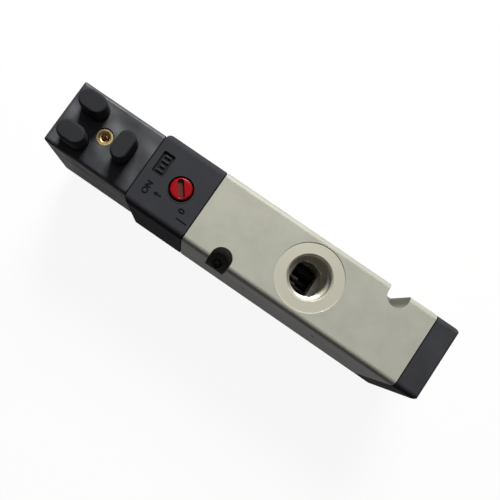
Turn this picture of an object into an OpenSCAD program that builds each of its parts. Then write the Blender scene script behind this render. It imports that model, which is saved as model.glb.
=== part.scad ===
// Pneumatic solenoid valve, 3/2-way, pilot operated, spring return.
// Lengths in mm. X runs from the solenoid head to the end cap, Z up from the mounting face.

/* [Valve body] */
// Length of the metal body
body_l = 75.1; // [72:0.1:85]
// Width of body, pilot base and end cap
body_w = 25; // [24.6:0.1:28]
// Height of the top face above the mounting face
body_h = 40; // [39:0.5:44]
// Radius along the upper long edges
body_edge_r = 1.9; // [0.6:0.1:2.6]
// Radius along the lower long edges
foot_edge_r = 0.5; // [0.2:0.1:0.5]
// Height of the spool axis above the mounting face
spool_z = 19; // [18.5:0.1:19.5]
// Radius of the bore that holds the seal stack
bore_r = 6.5; // [6.2:0.05:6.6]
// Radius of the piston chamber
chamber_r = 9; // [8:0.1:9.2]
// Spacing of the ports along the body
port_pitch = 12; // [11.6:0.1:13]

/* [Ports] */
// Radius at the thread's crest line, the wall of the port
port_r = 6.58; // [6:0.01:6.7]
// Radius of the countersink at the mouth
port_mouth_r = 7.15; // [6.8:0.05:7.6]
// Radius of the machined seal face round a port
spotface_r = 10.6; // [9:0.1:11]
// Depth of the machined seal face
spotface_t = 0.2; // [0.1:0.05:0.4]
// Depth of the upper port
upper_port_depth = 12; // [10:0.1:12.6]
// Depth of the two lower ports
lower_port_depth = 10.4; // [9:0.1:10.8]
// Width of the milled slot between a port and the spool bore
window_l = 7.6; // [5:0.1:8]
// Distance of the slot's round ends from the wall of the port
window_inset = 0.15; // [0.1:0.05:0.8]
// Depth of the slot's floor below the crown of the spool bore
window_drop = 3; // [2.4:0.1:3.4]

/* [Mounting holes] */
// Distance of a mounting hole from the end of the body
mount_end = 12.8; // [12.3:0.1:13.5]
// Distance of a mounting hole from the side of the body
mount_edge = 2.2; // [2:0.05:2.4]
// Radius of the mounting holes
mount_r = 1.7; // [1.5:0.05:1.75]
// Radius of the pocket for the screw head
mount_head_r = 3.4; // [2.8:0.05:3.6]
// Depth of the pocket for the screw head
mount_head_depth = 18; // [10:0.5:18]

/* [Side marks] */
// Radius of the small blind holes in the side
dimple_r = 0.9; // [0.5:0.1:1.5]
// Depth of the small blind holes
dimple_depth = 1.2; // [0.5:0.1:2]
// Distance of the small blind holes from the upper port
dimple_pitch = 13.2; // [8:0.1:16]
// Distance of the small blind holes from the top face
dimple_drop = 15; // [8:0.5:25]

/* [Spool and seals] */
// Radius of the spool's lands
spool_r = 4; // [3.6:0.05:4.2]
// Radius of the spool's neck
neck_r = 2.6; // [2:0.1:3.2]
// Travel of the spool
spool_stroke = 4.4; // [3.6:0.1:4.4]
// Width of a spool seal
seal_w = 2.2; // [1.6:0.1:2.4]
// Number of ribs in a seal spacer
rib_count = 6; // [4:1:8]
// Width of a rib
rib_w = 1.7; // [1:0.1:2]
// Length of the solid ring at each end of a seal spacer
ring_l = 1.7; // [1.2:0.1:2.2]
// Thickness of the pilot piston
piston_t = 3.2; // [2.8:0.1:3.4]
// Length of the spool's spigot in the piston
spigot_l = 2.4; // [1.5:0.1:2.6]
// Radius of the spool's spigot
spigot_r = 2; // [1.4:0.1:2.4]
// Running clearance on the radius of sliding and turning pieces
run_gap = 0.06; // [0.02:0.01:0.09]
// Clearance between pieces that are fitted together
fit_gap = 0.05; // [0.02:0.01:0.1]

/* [Return spring] */
// Outer radius of the return spring
spring_r = 3.9; // [3.4:0.05:4]
// Wire diameter of the return spring
spring_wire = 0.8; // [0.5:0.05:0.9]
// Turns of the return spring
spring_turns = 8; // [5:1:10]

/* [Pilot base] */
// Length of the pilot base
base_l = 21.1; // [21:0.1:26]
// Radius along the upper long edges of base and end cap
base_edge_r = 2.2; // [0.6:0.1:3]
// Radius of the base's upright corners beside the head
base_corner_r = 2; // [1:0.1:3]
// Length of the sunk window for the voltage code
code_l = 4; // [2:0.1:4.4]
// Width of the sunk window for the voltage code
code_w = 7.4; // [4:0.1:8]
// Depth of the sunk window
code_t = 0.7; // [0.2:0.1:1]
// Corner radius of the sunk window
code_corner_r = 0.5; // [0.2:0.1:0.8]
// Distance of the sunk window from the head end of the base
code_from_head = 2; // [1.6:0.1:2.4]
// How far the sunk window reaches past the middle plane
code_past_mid = 0.3; // [0:0.1:0.6]

/* [Manual override] */
// Distance of the override's axis from the head end of the base
knob_x_from_base = 12.7; // [12:0.1:13.2]
// Radius of the override's head
knob_r = 3.5; // [3.4:0.1:4]
// Height of the override above the top face
knob_proud = 0.5; // [0:0.1:1]
// Height of the override's head
knob_head_t = 3.1; // [2.4:0.1:3.2]
// Radial gap between the override and its well
knob_well_gap = 0.5; // [0.1:0.05:0.6]
// Width of the raised rim round the well
rim_w = 0.4; // [0.3:0.1:1]
// Height of the raised rim
rim_t = 0.1; // [0.1:0.05:0.5]
// Width of the screwdriver slot
slot_w = 1.8; // [0.8:0.1:2]
// Depth of the screwdriver slot
slot_depth = 0.9; // [0.8:0.1:1.6]
// Width of the rim that closes the slot's ends
slot_rim = 0.5; // [0.4:0.05:1.2]
// Direction of the slot at rest, degrees from +X
slot_turn = -52; // [-90:1:90]
// Radius of the override's stem
stem_r = 2.5; // [2.3:0.05:2.6]
// Radius of the eccentric stub under the stem
stub_r = 1; // [0.7:0.05:1.1]
// Travel of the override pin over the quarter turn
pin_travel = 1; // [0.6:0.1:1.2]
// Radius of the override pin
pin_r = 2.4; // [2:0.05:2.5]
// Depth of the override pin's axis below the top face
pin_drop = 13; // [12.5:0.1:13.5]
// Length of the override pin
pin_l = 12.6; // [11:0.1:12.8]
// Radius of the dowel that keeps the override in its well
dowel_r = 0.6; // [0.4:0.05:0.7]

/* [Solenoid head] */
// Length of the solenoid head
head_l = 30.1; // [30:0.1:33]
// Width of the solenoid head
head_w = 22.1; // [22:0.1:24]
// Height of the head's underside above the mounting face
head_lift = 5.5; // [4:0.1:5.6]
// Radius along the upper edges of the head
head_edge_r = 1.4; // [0.5:0.1:2]
// Radius of the head's upright corners
head_corner_r = 1.2; // [0.5:0.1:1.4]
// Radius of the head's lower end edge
head_foot_r = 3.5; // [1:0.1:3.5]
// Outer radius of the coil winding
coil_r = 7.9; // [7:0.1:8]
// Thickness of the magnet yoke's plates
yoke_t = 1.3; // [1:0.1:1.4]
// Width of the magnet yoke
yoke_w = 13; // [12:0.1:13.4]
// Inner radius of the guide tube
tube_r = 3.6; // [3.2:0.05:3.7]
// Wall of the guide tube
tube_wall = 0.4; // [0.2:0.05:0.45]
// Length of the armature
armature_l = 11.6; // [10:0.1:13]
// Gap between the armature and the fixed core at rest
armature_gap = 1; // [0.95:0.05:1.3]

/* [Electrical contacts] */
// Distance between the two contact blades
blade_pitch = 11; // [10:0.1:11.4]
// Distance of the contact blades from the end of the head
blade_from_end = 8; // [7.5:0.1:9]
// Distance of the ground blade from the end of the head
ground_from_end = 22.7; // [22:0.1:24]
// Distance of the connector screw from the end of the head
insert_from_end = 15.1; // [14.6:0.1:16]
// Width of a blade
blade_w = 6.3; // [4.8:0.1:6.3]
// Thickness of a blade
blade_t = 0.8; // [0.5:0.1:1]
// Height of a blade above the head
blade_h = 7; // [6:0.1:10]
// Outer radius of the brass insert
insert_r = 2.75; // [2.4:0.05:3]
// Radius of the insert's threaded hole, M3
insert_hole_r = 1.5; // [1.25:0.05:1.6]
// Thickness of brass below the insert's threaded hole
insert_floor = 1.4; // [0.6:0.1:2.4]
// Distance of the brass insert from the magnet yoke
insert_over_yoke = 2.45; // [1.95:0.1:2.95]
// How far the insert lies below the head's face
insert_sink = 0.4; // [0:0.1:0.8]
// Length of a protective cap over a contact blade
cap_long = 9; // [8.4:0.1:9.4]
// Width of a protective cap over a contact blade
cap_wide = 6.2; // [3:0.1:6.6]
// Length of the protective cap over the ground blade
ground_cap_long = 9.6; // [8.4:0.1:10.4]
// Width of the protective cap over the ground blade
ground_cap_wide = 5.4; // [3:0.1:6]
// Thickness of a protective cap above its blade
cap_top_t = 0.5; // [0.4:0.1:1.5]
// Chamfer round the top of a protective cap
cap_chamfer = 0.5; // [0.2:0.1:1]
// Depth of the seat in the head that a protective cap stands in
cap_seat_t = 0.3; // [0.2:0.05:0.5]
// Clearance round a protective cap in its seat
cap_seat_gap = 0.1; // [0.05:0.05:0.2]

/* [End cap and fasteners] */
// Length of the end cap
end_cap_l = 7.5; // [7.2:0.1:10]
// Radius of the end cap's upright corners
end_cap_corner_r = 1.8; // [1:0.1:2]
// Radius of the end cap's lower end edge
end_cap_foot_r = 3.5; // [1:0.1:3.8]
// Radius of the end cap's upper end edge
end_cap_top_r = 1.2; // [0.5:0.1:2]
// Thickness of the flat gaskets
gasket_t = 0.4; // [0.2:0.1:0.6]
// How far the gaskets stay inside the outline
gasket_inset = 0.35; // [0.2:0.05:0.6]
// Radius of the assembly screws, M3
screw_r = 1.5; // [1.2:0.05:1.5]
// Head radius of the assembly screws
screw_head_r = 2.75; // [2.2:0.05:2.75]
// Head height of the assembly screws
screw_head_t = 3; // [2:0.1:3]
// Distance of the body's screws from the middle plane
screw_y = 7.6; // [7.4:0.1:8]
// Height of the body's upper screws above the spool axis
screw_up = 14; // [13:0.1:14.4]
// Height of the body's lower screws below the spool axis
screw_down = 10; // [9.8:0.1:12]
// Depth of screw thread in the metal body
screw_bite = 7.4; // [6:0.1:7.6]
// Distance of the head's screws from the middle plane
head_screw_y = 7.4; // [7.2:0.1:7.5]
// Height of the head's upper screw above the spool axis
head_screw_up = 13; // [12.5:0.1:13.5]
// Height of the head's lower screw below the spool axis
head_screw_down = 7.4; // [7.2:0.1:7.6]
// Depth of the head's screws in the pilot base
head_screw_bite = 7; // [4:0.1:8]
// Radius of the head's screws, M2.5
head_screw_r = 1.25; // [1:0.05:1.3]
// Head radius of the head's screws
head_screw_head_r = 2.25; // [2:0.05:2.3]
// Head height of the head's screws
head_screw_head_t = 2; // [1.6:0.1:2.2]

/* [Hidden] */
$fn = 64;

// Colours
metal_grey = "#AEAEA2";
plastic_black = "#3A3C40";
rubber_black = "#1C1D1F";
steel_grey = "#A8ABAE";
brass_gold = "#C9AC72";
copper_red = "#A8583A";
knob_red = "#C8102D";
cage_black = "#26272A";

// Places along X, from the solenoid's end
total_l = head_l + base_l + body_l + end_cap_l + 3 * gasket_t;
head_x = -total_l / 2;
base_x = head_x + head_l + gasket_t;
body_x = base_x + base_l + gasket_t;
body_end = body_x + body_l;
end_cap_x = body_end + gasket_t;
body_mid = (body_x + body_end) / 2;
cut = 1;

// Seal stack: four seals half a pitch beside the ports
seal_x = [for (i = [-1.5, -0.5, 0.5, 1.5]) body_mid + i * port_pitch];
spacer_l = port_pitch - seal_w;
stack_r = bore_r - fit_gap;
seal_bore_r = spool_r + run_gap;
spacer_bore_r = spool_r + 2 * run_gap;
cage_in_r = spacer_bore_r + 1.1;

// Piston and its chamber
piston_gap = 0.2;
piston_x = body_x + piston_gap;
piston_end = piston_x + piston_t;
chamber_end = piston_end + spool_stroke + piston_gap;
piston_r = chamber_r - run_gap;
piston_groove_r = piston_r - 1.7;
piston_groove_w = 1.6;

// Spool: the neck bridges ports 3 and 2 at rest, and 2 and 1 when driven
neck_start = seal_x[1] - seal_w / 2 - 1.55;
neck_end = seal_x[2] - seal_w / 2 - 1.05;
neck_cone = 0.6;
spool_past_seal = 3.1;
spool_end = seal_x[3] + seal_w / 2 + spool_past_seal;
tail_r = spring_r - spring_wire - 0.1;
tail_l = 2.4;
sleeve_lead = 0.6;
sleeve_lip = spool_past_seal + spool_stroke + sleeve_lead;
sleeve_bore_r = spring_r + 0.5;
pocket_depth = 2.4;
spring_start = spool_end + 0.05;
spring_end = end_cap_x + pocket_depth - 0.05;

// Port slots run across the body and open into the crown of the spool bore
window_w = 2 * (port_r - window_inset);
window_floor = bore_r - window_drop;
port_chamfer = port_mouth_r - port_r;

// Mounting holes, one half turn apart about the upper port
mount_y = body_w / 2 - mount_edge;
mount_places = [
    [body_x + mount_end, -mount_y, -1],
    [body_end - mount_end, mount_y, 1]
];

// Assembly screws: [y, z] seen from the solenoid's end
base_screw_places = [[screw_y, spool_z + screw_up], [-screw_y, spool_z - screw_down]];
cap_screw_places = [[-screw_y, spool_z + screw_up], [screw_y, spool_z - screw_down]];
head_screw_places = [
    [-head_screw_y, spool_z + head_screw_up],
    [head_screw_y, spool_z - head_screw_down]
];
pocket_gap = 0.15;
pocket_sink = 0.3;

// Pilot seat and channel
channel_r = 0.8;
orifice_r = 0.5;
seat_r = 3;
seat_l = 4.8;
seat_tip_r = 0.9;
seat_root_r = 1.6;
seat_reach = 1.93;
flange_r = 6;
flange_t = 0.8;
tube_seal_in_r = 4.4;
tube_seal_out_r = 5.6;
tube_seal_t = 0.8;

// Manual override
knob_x = base_x + knob_x_from_base;
knob_top = body_h + knob_proud;
knob_head_z = knob_top - knob_head_t;
well_r = knob_r + knob_well_gap;
well_z = knob_head_z - fit_gap;
pin_z = body_h - pin_drop;
stem_gap = 0.8;
stem_z = pin_z + pin_r + stem_gap;
stub_z = pin_z + 0.5;
stub_throw = pin_travel * sqrt(0.5);
stub_rest_turn = -45;
pin_slot_x = knob_x + pin_travel / 2;
pin_slot_w = 2 * (stub_r + run_gap);
pin_slot_z = stub_z - 0.3;
pin_bore_r = pin_r + run_gap;
pin_x = base_x + base_l - pin_l - 1.1;
pin_bore_x = pin_x - pin_travel - 0.3;
pin_groove_end = 3.6;
pin_groove_x = pin_x + pin_l - pin_groove_end;
pin_groove_w = 1;
pin_groove_r = pin_r - 0.6;
knob_groove_z = stem_z + 1.6;
knob_groove_w = 1.2;
knob_groove_r = stem_r - 0.6;
dowel_groove_r = stem_r - 0.8;
dowel_y = dowel_groove_r + dowel_r + 0.1;
dowel_z = knob_head_z - 1.9;
dowel_l = 12.2;
dowel_x = base_x + base_l - dowel_l - 0.2;
bypass_x = pin_x + pin_l - 1.2;

// Coil group, from the yoke's rear plate to the front plate
cavity_gap = 0.2;
yoke_front_gap = 2.5;
yoke_x = head_x + pocket_sink + head_screw_head_t + cavity_gap;
yoke_l = base_x - flange_t - yoke_front_gap - yoke_x;
bobbin_flange_t = 1;
bobbin_wall = 0.55;
bobbin_r = coil_r + 0.3;
bobbin_x = yoke_x + yoke_t + 0.1;
bobbin_l = yoke_l - 2 * yoke_t - 0.2;
tube_out_r = tube_r + tube_wall;
tube_gap_r = tube_out_r + fit_gap;
tube_back_gap = 1.2;
tube_x = yoke_x + yoke_t + tube_back_gap;
tube_end = base_x;
tube_floor_t = 0.6;
cavity_r = bobbin_r + cavity_gap;
strap_z = spool_z + bobbin_r + 0.15;
yoke_top = strap_z + yoke_t;
yoke_foot = spool_z - tube_gap_r - 1.45;
armature_x = base_x - 2 - armature_l;
armature_r = tube_r - run_gap;
core_end = armature_x - armature_gap;
core_start = tube_x + tube_floor_t + fit_gap;
armature_seal_r = 2;
armature_seal_t = 0.9;
small_spring_bore_r = 1.6;
small_spring_depth = 6;
small_spring_r = 1.35;
small_spring_wire = 0.35;
small_spring_turns = 7;

// Electrical contacts on the head's upper face
blade_x = head_x + blade_from_end;
ground_x = head_x + ground_from_end;
insert_x = head_x + insert_from_end;
blade_root_z = spool_z + head_screw_up + head_screw_r + 0.7;
ground_root_z = yoke_top + fit_gap;
insert_z = yoke_top + insert_over_yoke;
insert_l = body_h - insert_sink - insert_z;
blade_slot = 0.02;
cap_pocket_gap = 0.1;

// A round bar along X on the spool axis
module x_rod(x, l, r, z = spool_z, y = 0) {
    translate([x, y, z]) rotate([0, 90, 0]) cylinder(h = l, r = r);
}

// A profile of [radius, x] points turned about the spool axis
module x_turned(points, z = spool_z) {
    translate([0, 0, z]) rotate([0, 90, 0]) rotate_extrude() polygon(points);
}

// A drawn section, seen from the end, pulled along X
module x_bar(x, l) {
    translate([x, 0, 0]) rotate([90, 0, 90]) linear_extrude(l) children();
}

// The waste outside a round corner whose sharp tip is at the origin
module corner_waste(r, quarter = 0) {
    rotate(90 * quarter) difference() {
        translate([-r, -r]) square(r + cut);
        translate([-r, -r]) circle(r);
    }
}

// The common section of body, base and end cap
module box_section(w, z0, z1, r_top, r_foot) {
    difference() {
        translate([-w / 2, z0]) square([w, z1 - z0]);
        translate([w / 2, z1]) corner_waste(r_top);
        translate([-w / 2, z1]) corner_waste(r_top, 1);
        translate([-w / 2, z0]) corner_waste(r_foot, 2);
        translate([w / 2, z0]) corner_waste(r_foot, 3);
    }
}

// A slot with round ends, long along X
module long_slot(long, wide) {
    span = long - wide;
    for (s = [-1, 1]) translate([s * span / 2, 0]) circle(wide / 2);
    square([span, wide], center = true);
}

// Waste outside the two upright corners at x; side is 1 for the +X end
module upright_waste(x, w, r, side) {
    for (s = [-1, 1])
        translate([x, s * w / 2, -cut]) linear_extrude(body_h + 2 * cut)
            corner_waste(r, side > 0 ? (s > 0 ? 0 : 3) : (s > 0 ? 1 : 2));
}

// Waste outside a cross edge at height z; quarter picks the corner seen from -Y
module cross_waste(x, z, r, quarter) {
    translate([x, 0, z]) rotate([90, 0, 0]) linear_extrude(body_w + 2 * cut, center = true)
        corner_waste(r, quarter);
}

// Spring wire: an eight-sided section swept along a helix on the X axis
function coil_point(i, steps, l, r, wire, turns) = let (
    t = i / steps,
    a = 360 * turns * t
) [wire / 2 + (l - wire) * t, r * cos(a), r * sin(a)];

module helix(x, l, outer_r, wire, turns, z = spool_z) {
    sides = 8;
    per_turn = 18;
    steps = turns * per_turn;
    r = outer_r - wire / 2;
    points = [for (i = [0 : steps], j = [0 : sides - 1])
        let (p = coil_point(i, steps, l, r, wire, turns),
             a = 360 * i / per_turn,
             b = 360 * j / sides,
             out = cos(b) * wire / 2)
        [p[0] + sin(b) * wire / 2, p[1] + out * cos(a), p[2] + out * sin(a)]];
    walls = [for (i = [0 : steps - 1], j = [0 : sides - 1])
        let (k = (j + 1) % sides)
        each [[i * sides + j, i * sides + k, (i + 1) * sides + k],
              [i * sides + j, (i + 1) * sides + k, (i + 1) * sides + j]]];
    ends = [[for (j = [sides - 1 : -1 : 0]) j],
            [for (j = [0 : sides - 1]) steps * sides + j]];
    translate([x, 0, z]) polyhedron(points, concat(walls, ends));
}

// A port in a face that lies at z = 0, with its slot down to the spool bore
module port_cut(depth, reach) {
    translate([0, 0, -spotface_t]) cylinder(h = spotface_t + cut, r = spotface_r);
    translate([0, 0, -depth]) cylinder(h = depth, r = port_r);
    translate([0, 0, -spotface_t - port_chamfer])
        cylinder(h = port_chamfer, r1 = port_r, r2 = port_mouth_r);
    translate([0, 0, -reach]) rotate(90) linear_extrude(reach - depth + cut) long_slot(window_w, window_l);
}

// A mounting hole and its pocket, open to the side of the body
module mount_cut(side) {
    pocket_z = body_h - mount_head_depth;
    translate([0, 0, -cut]) cylinder(h = body_h, r = mount_r);
    translate([0, 0, pocket_z]) cylinder(h = mount_head_depth + cut, r = mount_head_r);
    translate([-mount_head_r, side > 0 ? 0 : -body_w / 2, pocket_z])
        cube([2 * mount_head_r, body_w / 2, mount_head_depth + cut]);
}

module body() color(metal_grey) difference() {
    x_bar(body_x, body_l) box_section(body_w, 0, body_h, body_edge_r, foot_edge_r);
    x_rod(body_x - cut, chamber_end - body_x + cut, chamber_r);
    x_rod(body_x, body_l + cut, bore_r);
    translate([body_mid, 0, body_h]) port_cut(upper_port_depth, body_h - spool_z - window_floor);
    for (s = [-1, 1])
        translate([body_mid + s * port_pitch, 0, 0]) mirror([0, 0, 1])
            port_cut(lower_port_depth, spool_z - window_floor);
    for (p = mount_places) translate([p[0], p[1], 0]) mount_cut(p[2]);
    for (p = base_screw_places)
        x_rod(body_x - cut, screw_bite + 2 * cut, screw_r + fit_gap, p[1], p[0]);
    for (p = cap_screw_places)
        x_rod(body_end - screw_bite - cut, screw_bite + 2 * cut, screw_r + fit_gap, p[1], p[0]);
    for (s = [-1, 1])
        translate([body_mid + s * dimple_pitch, -body_w / 2 - cut, body_h - dimple_drop])
            rotate([-90, 0, 0]) cylinder(h = dimple_depth + cut, r = dimple_r);
}

// One cage: two rings joined by ribs, open to the port between them
module spacer_cage(x) {
    difference() {
        x_rod(x, spacer_l, stack_r);
        x_rod(x - cut, spacer_l + 2 * cut, spacer_bore_r);
        x_rod(x + ring_l, spacer_l - 2 * ring_l, cage_in_r);
        difference() {
            x_rod(x + ring_l, spacer_l - 2 * ring_l, stack_r + cut);
            for (i = [0 : rib_count - 1])
                translate([x, 0, spool_z]) rotate([360 * (i + 0.5) / rib_count, 0, 0])
                    translate([0, -rib_w / 2, 0]) cube([spacer_l, rib_w, stack_r + 2 * cut]);
        }
    }
}

module seal_spacers() color(cage_black) {
    for (i = [0 : 2]) spacer_cage(seal_x[i] + seal_w / 2);
    difference() {
        x_rod(chamber_end, seal_x[0] - seal_w / 2 - chamber_end, stack_r);
        x_rod(chamber_end - cut, seal_x[0] - chamber_end + cut, spacer_bore_r);
    }
    difference() {
        x_rod(seal_x[3] + seal_w / 2, body_end - seal_x[3] - seal_w / 2, stack_r);
        x_rod(seal_x[3], body_end - seal_x[3] + cut, spacer_bore_r);
        x_rod(seal_x[3] + seal_w / 2 + sleeve_lip, body_end, sleeve_bore_r);
    }
}

module spool_seals() color(rubber_black)
    for (x = seal_x)
        x_turned([
            [seal_bore_r, x - seal_w / 2], [stack_r, x - seal_w / 2],
            [stack_r, x - seal_w / 5], [stack_r - 0.25, x], [stack_r, x + seal_w / 5],
            [stack_r, x + seal_w / 2], [seal_bore_r, x + seal_w / 2],
            [seal_bore_r, x + seal_w / 5], [seal_bore_r + 0.25, x], [seal_bore_r, x - seal_w / 5]
        ]);

module spool() color(steel_grey) x_turned([
    [0, piston_end - spigot_l], [spigot_r, piston_end - spigot_l], [spigot_r, piston_end],
    [spool_r, piston_end], [spool_r, neck_start], [neck_r, neck_start + neck_cone],
    [neck_r, neck_end - neck_cone], [spool_r, neck_end], [spool_r, spool_end],
    [tail_r, spool_end], [tail_r, spool_end + tail_l - 0.5],
    [tail_r - 0.5, spool_end + tail_l], [0, spool_end + tail_l]
]);

module pilot_piston() color(plastic_black) {
    groove = piston_x + (piston_t - piston_groove_w) / 2;
    spigot_bore_r = spigot_r + fit_gap;
    spigot_floor = piston_end - spigot_l - fit_gap;
    x_turned([
        [0, piston_x], [piston_r, piston_x], [piston_r, groove], [piston_groove_r, groove],
        [piston_groove_r, groove + piston_groove_w], [piston_r, groove + piston_groove_w],
        [piston_r, piston_end], [spigot_bore_r, piston_end], [spigot_bore_r, spigot_floor],
        [0, spigot_floor]
    ]);
}

module piston_seal() color(rubber_black) {
    x0 = piston_x + (piston_t - piston_groove_w) / 2 + fit_gap;
    w = piston_groove_w - 2 * fit_gap;
    lip_r = chamber_r - run_gap / 2;
    x_turned([
        [piston_groove_r + fit_gap, x0], [lip_r - 0.5, x0], [lip_r, x0 + w / 3],
        [lip_r, x0 + 2 * w / 3], [lip_r - 0.5, x0 + w], [piston_groove_r + fit_gap, x0 + w]
    ]);
}

module return_spring() color(steel_grey)
    helix(spring_start, spring_end - spring_start, spring_r, spring_wire, spring_turns);

module end_cap() color(plastic_black) {
    x1 = end_cap_x + end_cap_l;
    difference() {
        x_bar(end_cap_x, end_cap_l) box_section(body_w, 0, body_h, base_edge_r, foot_edge_r);
        upright_waste(x1, body_w, end_cap_corner_r, 1);
        cross_waste(x1, body_h, end_cap_top_r, 0);
        cross_waste(x1, 0, end_cap_foot_r, 3);
        x_rod(end_cap_x - cut, pocket_depth + cut, sleeve_bore_r);
        for (p = cap_screw_places) screw_cut(end_cap_x, x1, p, 1);
    }
}

// Flat gasket between two flanges, open in the middle and at its screws
module flat_gasket(x, w, z0, z1, open_r, screws, r = screw_r) {
    difference() {
        x_bar(x, gasket_t)
            box_section(w - 2 * gasket_inset, z0 + gasket_inset, z1 - gasket_inset, 1.5, 0.5);
        x_rod(x - cut, gasket_t + 2 * cut, open_r);
        for (p = screws) x_rod(x - cut, gasket_t + 2 * cut, r + fit_gap, p[1], p[0]);
    }
}

module end_gasket() color(rubber_black)
    flat_gasket(body_end, body_w, 0, body_h, sleeve_bore_r, cap_screw_places);

// Socket screw along X: the head's top is at x, side is 1 if it points along +X
module socket_screw(x, reach, place, side, r = screw_r, head_r = screw_head_r, head_t = screw_head_t) {
    translate([x, place[0], place[1]]) rotate([0, 90 * side, 0]) difference() {
        union() {
            cylinder(h = head_t, r = head_r);
            cylinder(h = reach, r = r);
        }
        translate([0, 0, -cut]) cylinder(h = head_t / 2 + cut, r = head_r / 2, $fn = 6);
    }
}

// Hole through x0 to x1 for such a screw, with a pocket for its head at the end named by side
module screw_cut(x0, x1, place, side, r = screw_r, head_r = screw_head_r, head_t = screw_head_t) {
    deep = head_t + pocket_sink;
    x_rod(x0 - cut, x1 - x0 + 2 * cut, r + fit_gap, place[1], place[0]);
    x_rod(side < 0 ? x0 - cut : x1 - deep, deep + cut, head_r + pocket_gap, place[1], place[0]);
}

module end_cap_screws() color(steel_grey)
    for (p = cap_screw_places)
        socket_screw(end_cap_x + end_cap_l - pocket_sink,
                     end_cap_l - pocket_sink + gasket_t + screw_bite, p, -1);

module pilot_base() color(plastic_black) {
    x1 = base_x + base_l;
    difference() {
        union() {
            difference() {
                x_bar(base_x, base_l) box_section(body_w, 0, body_h, base_edge_r, foot_edge_r);
                upright_waste(base_x, body_w, base_corner_r, -1);
            }
            translate([knob_x, 0, body_h - cut]) cylinder(h = rim_t + cut, r = well_r + rim_w);
        }
        translate([base_x + code_from_head, -code_past_mid, body_h - code_t])
            linear_extrude(code_t + cut) rounded_window(code_l, code_w, code_corner_r);
        translate([knob_x, 0, well_z]) cylinder(h = body_h, r = well_r);
        translate([knob_x, 0, pin_z]) cylinder(h = well_z - pin_z + cut, r = stem_r + run_gap);
        x_rod(pin_bore_x, x1 - pin_bore_x + cut, pin_bore_r, pin_z);
        x_rod(dowel_x, dowel_l + cut, dowel_r, dowel_z, dowel_y);
        x_rod(base_x, base_l + cut, channel_r);
        translate([bypass_x, 0, spool_z]) cylinder(h = pin_z - spool_z, r = channel_r);
        x_rod(base_x - cut, seat_l + cut + fit_gap, seat_r + fit_gap);
        difference() {
            x_rod(base_x - cut, tube_seal_t + cut, tube_seal_out_r + fit_gap);
            x_rod(base_x - 2 * cut, tube_seal_t + 3 * cut, tube_seal_in_r - fit_gap);
        }
        for (p = base_screw_places) screw_cut(base_x, x1, p, -1);
        for (p = head_screw_places)
            x_rod(base_x - cut, head_screw_bite + 2 * cut, head_screw_r + fit_gap, p[1], p[0]);
    }
}

// A rectangle with round corners, from the origin to [l, w]
module rounded_window(l, w, r) {
    translate([r, 0]) square([l - 2 * r, w]);
    translate([0, r]) square([l, w - 2 * r]);
    for (x = [r, l - r], y = [r, w - r]) translate([x, y]) circle(r);
}

module base_gasket() color(rubber_black)
    flat_gasket(body_x - gasket_t, body_w, 0, body_h, chamber_r, base_screw_places);

module base_screws() color(steel_grey)
    for (p = base_screw_places)
        socket_screw(base_x + pocket_sink, base_l - pocket_sink + gasket_t + screw_bite, p, 1);

module pilot_seat() color(brass_gold) difference() {
    x_turned([
        [0, base_x - seat_reach], [seat_tip_r, base_x - seat_reach], [seat_root_r, base_x],
        [seat_r, base_x], [seat_r, base_x + seat_l], [0, base_x + seat_l]
    ]);
    x_rod(base_x - seat_reach - cut, seat_reach + seat_l + 2 * cut, orifice_r);
}

module tube_seal() color(rubber_black) difference() {
    x_rod(base_x, tube_seal_t, tube_seal_out_r);
    x_rod(base_x - cut, tube_seal_t + 2 * cut, tube_seal_in_r);
}

module override_knob() color(knob_red) translate([knob_x, 0, 0]) {
    difference() {
        union() {
            translate([0, 0, knob_head_z]) cylinder(h = knob_head_t - 0.4, r = knob_r);
            translate([0, 0, knob_top - 0.4]) cylinder(h = 0.4, r1 = knob_r, r2 = knob_r - 0.3);
            translate([0, 0, stem_z]) cylinder(h = knob_head_z - stem_z, r = stem_r);
        }
        rotate(slot_turn) translate([0, 0, knob_top - slot_depth])
            linear_extrude(slot_depth + cut) long_slot(2 * (knob_r - slot_rim), slot_w);
        turned_groove(knob_groove_z, knob_groove_w, knob_groove_r);
        turned_groove(dowel_z - dowel_r - 0.1, 2 * dowel_r + 0.2, dowel_groove_r);
    }
    rotate(stub_rest_turn) translate([stub_throw, 0, stub_z])
        cylinder(h = stem_z - stub_z, r = stub_r);
}

// A groove round the override's stem
module turned_groove(z, w, r) {
    translate([0, 0, z]) difference() {
        cylinder(h = w, r = stem_r + cut);
        translate([0, 0, -cut]) cylinder(h = w + 2 * cut, r = r);
    }
}

module knob_seal() color(rubber_black)
    translate([knob_x, 0, knob_groove_z + fit_gap]) difference() {
        cylinder(h = knob_groove_w - 2 * fit_gap, r = stem_r + run_gap / 2);
        translate([0, 0, -cut]) cylinder(h = knob_groove_w + 2 * cut, r = knob_groove_r + fit_gap);
    }

module knob_dowel() color(steel_grey) x_rod(dowel_x, dowel_l, dowel_r, dowel_z, dowel_y);

module override_pin() color(brass_gold) difference() {
    x_turned([
        [0, pin_x], [pin_r - 0.4, pin_x], [pin_r, pin_x + 0.4], [pin_r, pin_groove_x],
        [pin_groove_r, pin_groove_x], [pin_groove_r, pin_groove_x + pin_groove_w],
        [pin_r, pin_groove_x + pin_groove_w], [pin_r, pin_x + pin_l - 1.5],
        [pin_r - 1, pin_x + pin_l], [0, pin_x + pin_l]
    ], pin_z);
    translate([pin_slot_x - pin_slot_w / 2, -pin_r - cut, pin_slot_z])
        cube([pin_slot_w, 2 * (pin_r + cut), pin_r + cut]);
}

module pin_seal() color(rubber_black) difference() {
    x_rod(pin_groove_x + fit_gap, pin_groove_w - 2 * fit_gap, pin_r + run_gap / 2, pin_z);
    x_rod(pin_groove_x - cut, pin_groove_w + 2 * cut, pin_groove_r + fit_gap, pin_z);
}

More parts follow.
